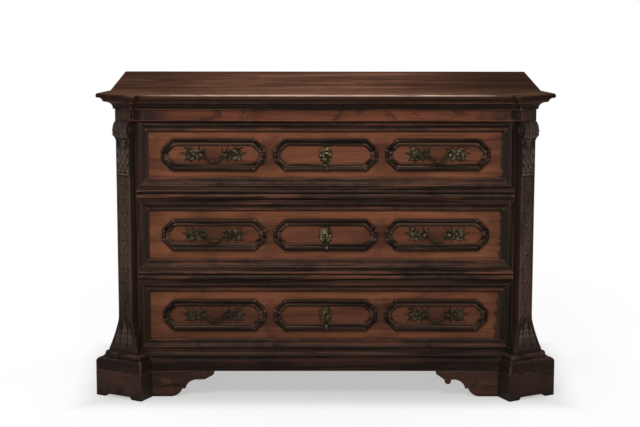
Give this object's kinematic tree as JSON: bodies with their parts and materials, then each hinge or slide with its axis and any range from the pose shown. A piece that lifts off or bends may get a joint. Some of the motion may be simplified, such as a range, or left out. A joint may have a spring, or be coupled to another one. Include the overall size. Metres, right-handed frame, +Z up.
{
  "type": "commode",
  "caption": "Low walnut commode with canted carved corners, ebonised mouldings, long panelled drawers with bronze drop handles and locks, on scrolled bracket feet.",
  "frame": {"origin": "on the floor under the middle of the plan", "axes": "+X along the front to the right as it is faced, +Y to the back, +Z up"},
  "size_m": [1.503, 0.6458, 1],
  "materials": {
    "walnut_top": "waxed",
    "walnut_frieze": "waxed",
    "walnut_field": "waxed",
    "walnut_side": "waxed",
    "dark_walnut": "waxed",
    "carved_walnut": "waxed",
    "ebonised": "satin",
    "plain_wood": "bare",
    "bronze": "patinated",
    "iron": "dull"
  },
  "bodies": {
    "case": {"top_panel": "walnut_top", "cornice_moulding": "ebonised", "frieze_rail": "walnut_frieze", "left_side_panel": "walnut_side", "right_side_panel": "walnut_side", "back_boards": "plain_wood", "bottom_board": "plain_wood", "left_corner_post": "walnut_frieze", "right_corner_post": "walnut_frieze", "rear_posts": "plain_wood", "left_pilaster": "carved_walnut", "right_pilaster": "carved_walnut", "upper_divider": "ebonised", "lower_divider": "ebonised", "base_rail": "plain_wood", "base_moulding": "ebonised", "left_front_foot": "dark_walnut", "right_front_foot": "dark_walnut", "left_front_bracket": "dark_walnut", "right_front_bracket": "dark_walnut", "side_brackets": "dark_walnut", "rear_feet": "dark_walnut", "drawer_runners": "plain_wood", "side_panel_mouldings": "ebonised"},
    "upper_drawer": {"upper_drawer_front": "walnut_field", "upper_drawer_sides": "plain_wood", "upper_drawer_back": "plain_wood", "upper_drawer_bottom": "plain_wood", "upper_drawer_frame_moulding": "ebonised", "upper_drawer_panel_mouldings": "ebonised", "upper_drawer_escutcheon": "bronze", "upper_drawer_lock_case": "iron", "upper_drawer_handle_mounts": "bronze"},
    "upper_left_bail": {"upper_drawer_left_bail": "bronze"},
    "upper_right_bail": {"upper_drawer_right_bail": "bronze"},
    "upper_bolt": {"upper_drawer_lock_bolt": "iron"},
    "middle_drawer": {"middle_drawer_front": "walnut_field", "middle_drawer_sides": "plain_wood", "middle_drawer_back": "plain_wood", "middle_drawer_bottom": "plain_wood", "middle_drawer_frame_moulding": "ebonised", "middle_drawer_panel_mouldings": "ebonised", "middle_drawer_escutcheon": "bronze", "middle_drawer_lock_case": "iron", "middle_drawer_handle_mounts": "bronze"},
    "middle_left_bail": {"middle_drawer_left_bail": "bronze"},
    "middle_right_bail": {"middle_drawer_right_bail": "bronze"},
    "middle_bolt": {"middle_drawer_lock_bolt": "iron"},
    "lower_drawer": {"lower_drawer_front": "walnut_field", "lower_drawer_sides": "plain_wood", "lower_drawer_back": "plain_wood", "lower_drawer_bottom": "plain_wood", "lower_drawer_frame_moulding": "ebonised", "lower_drawer_panel_mouldings": "ebonised", "lower_drawer_escutcheon": "bronze", "lower_drawer_lock_case": "iron", "lower_drawer_handle_mounts": "bronze"},
    "lower_left_bail": {"lower_drawer_left_bail": "bronze"},
    "lower_right_bail": {"lower_drawer_right_bail": "bronze"},
    "lower_bolt": {"lower_drawer_lock_bolt": "iron"}
  },
  "joints": [
    {"name": "upper_drawer_slide", "type": "slide", "parent": "case", "child": "upper_drawer", "axis": [0, -1, 0], "range_m": [0, 0.38]},
    {"name": "upper_left_bail_hinge", "type": "hinge", "parent": "upper_drawer", "child": "upper_left_bail", "pos_m": [-0.362, -0.23513, 0.7975], "axis": [-1, 0, 0], "range_deg": [0, 100]},
    {"name": "upper_right_bail_hinge", "type": "hinge", "parent": "upper_drawer", "child": "upper_right_bail", "pos_m": [0.362, -0.23513, 0.7975], "axis": [-1, 0, 0], "range_deg": [0, 100]},
    {"name": "upper_bolt_slide", "type": "slide", "parent": "upper_drawer", "child": "upper_bolt", "axis": [0, 0, 1], "range_m": [0, 0.016]},
    {"name": "middle_drawer_slide", "type": "slide", "parent": "case", "child": "middle_drawer", "axis": [0, -1, 0], "range_m": [0, 0.38]},
    {"name": "middle_left_bail_hinge", "type": "hinge", "parent": "middle_drawer", "child": "middle_left_bail", "pos_m": [-0.362, -0.23513, 0.5335], "axis": [-1, 0, 0], "range_deg": [0, 100]},
    {"name": "middle_right_bail_hinge", "type": "hinge", "parent": "middle_drawer", "child": "middle_right_bail", "pos_m": [0.362, -0.23513, 0.5335], "axis": [-1, 0, 0], "range_deg": [0, 100]},
    {"name": "middle_bolt_slide", "type": "slide", "parent": "middle_drawer", "child": "middle_bolt", "axis": [0, 0, 1], "range_m": [0, 0.016]},
    {"name": "lower_drawer_slide", "type": "slide", "parent": "case", "child": "lower_drawer", "axis": [0, -1, 0], "range_m": [0, 0.38]},
    {"name": "lower_left_bail_hinge", "type": "hinge", "parent": "lower_drawer", "child": "lower_left_bail", "pos_m": [-0.362, -0.23513, 0.2655], "axis": [-1, 0, 0], "range_deg": [0, 100]},
    {"name": "lower_right_bail_hinge", "type": "hinge", "parent": "lower_drawer", "child": "lower_right_bail", "pos_m": [0.362, -0.23513, 0.2655], "axis": [-1, 0, 0], "range_deg": [0, 100]},
    {"name": "lower_bolt_slide", "type": "slide", "parent": "lower_drawer", "child": "lower_bolt", "axis": [0, 0, 1], "range_m": [0, 0.016]}
  ]
}
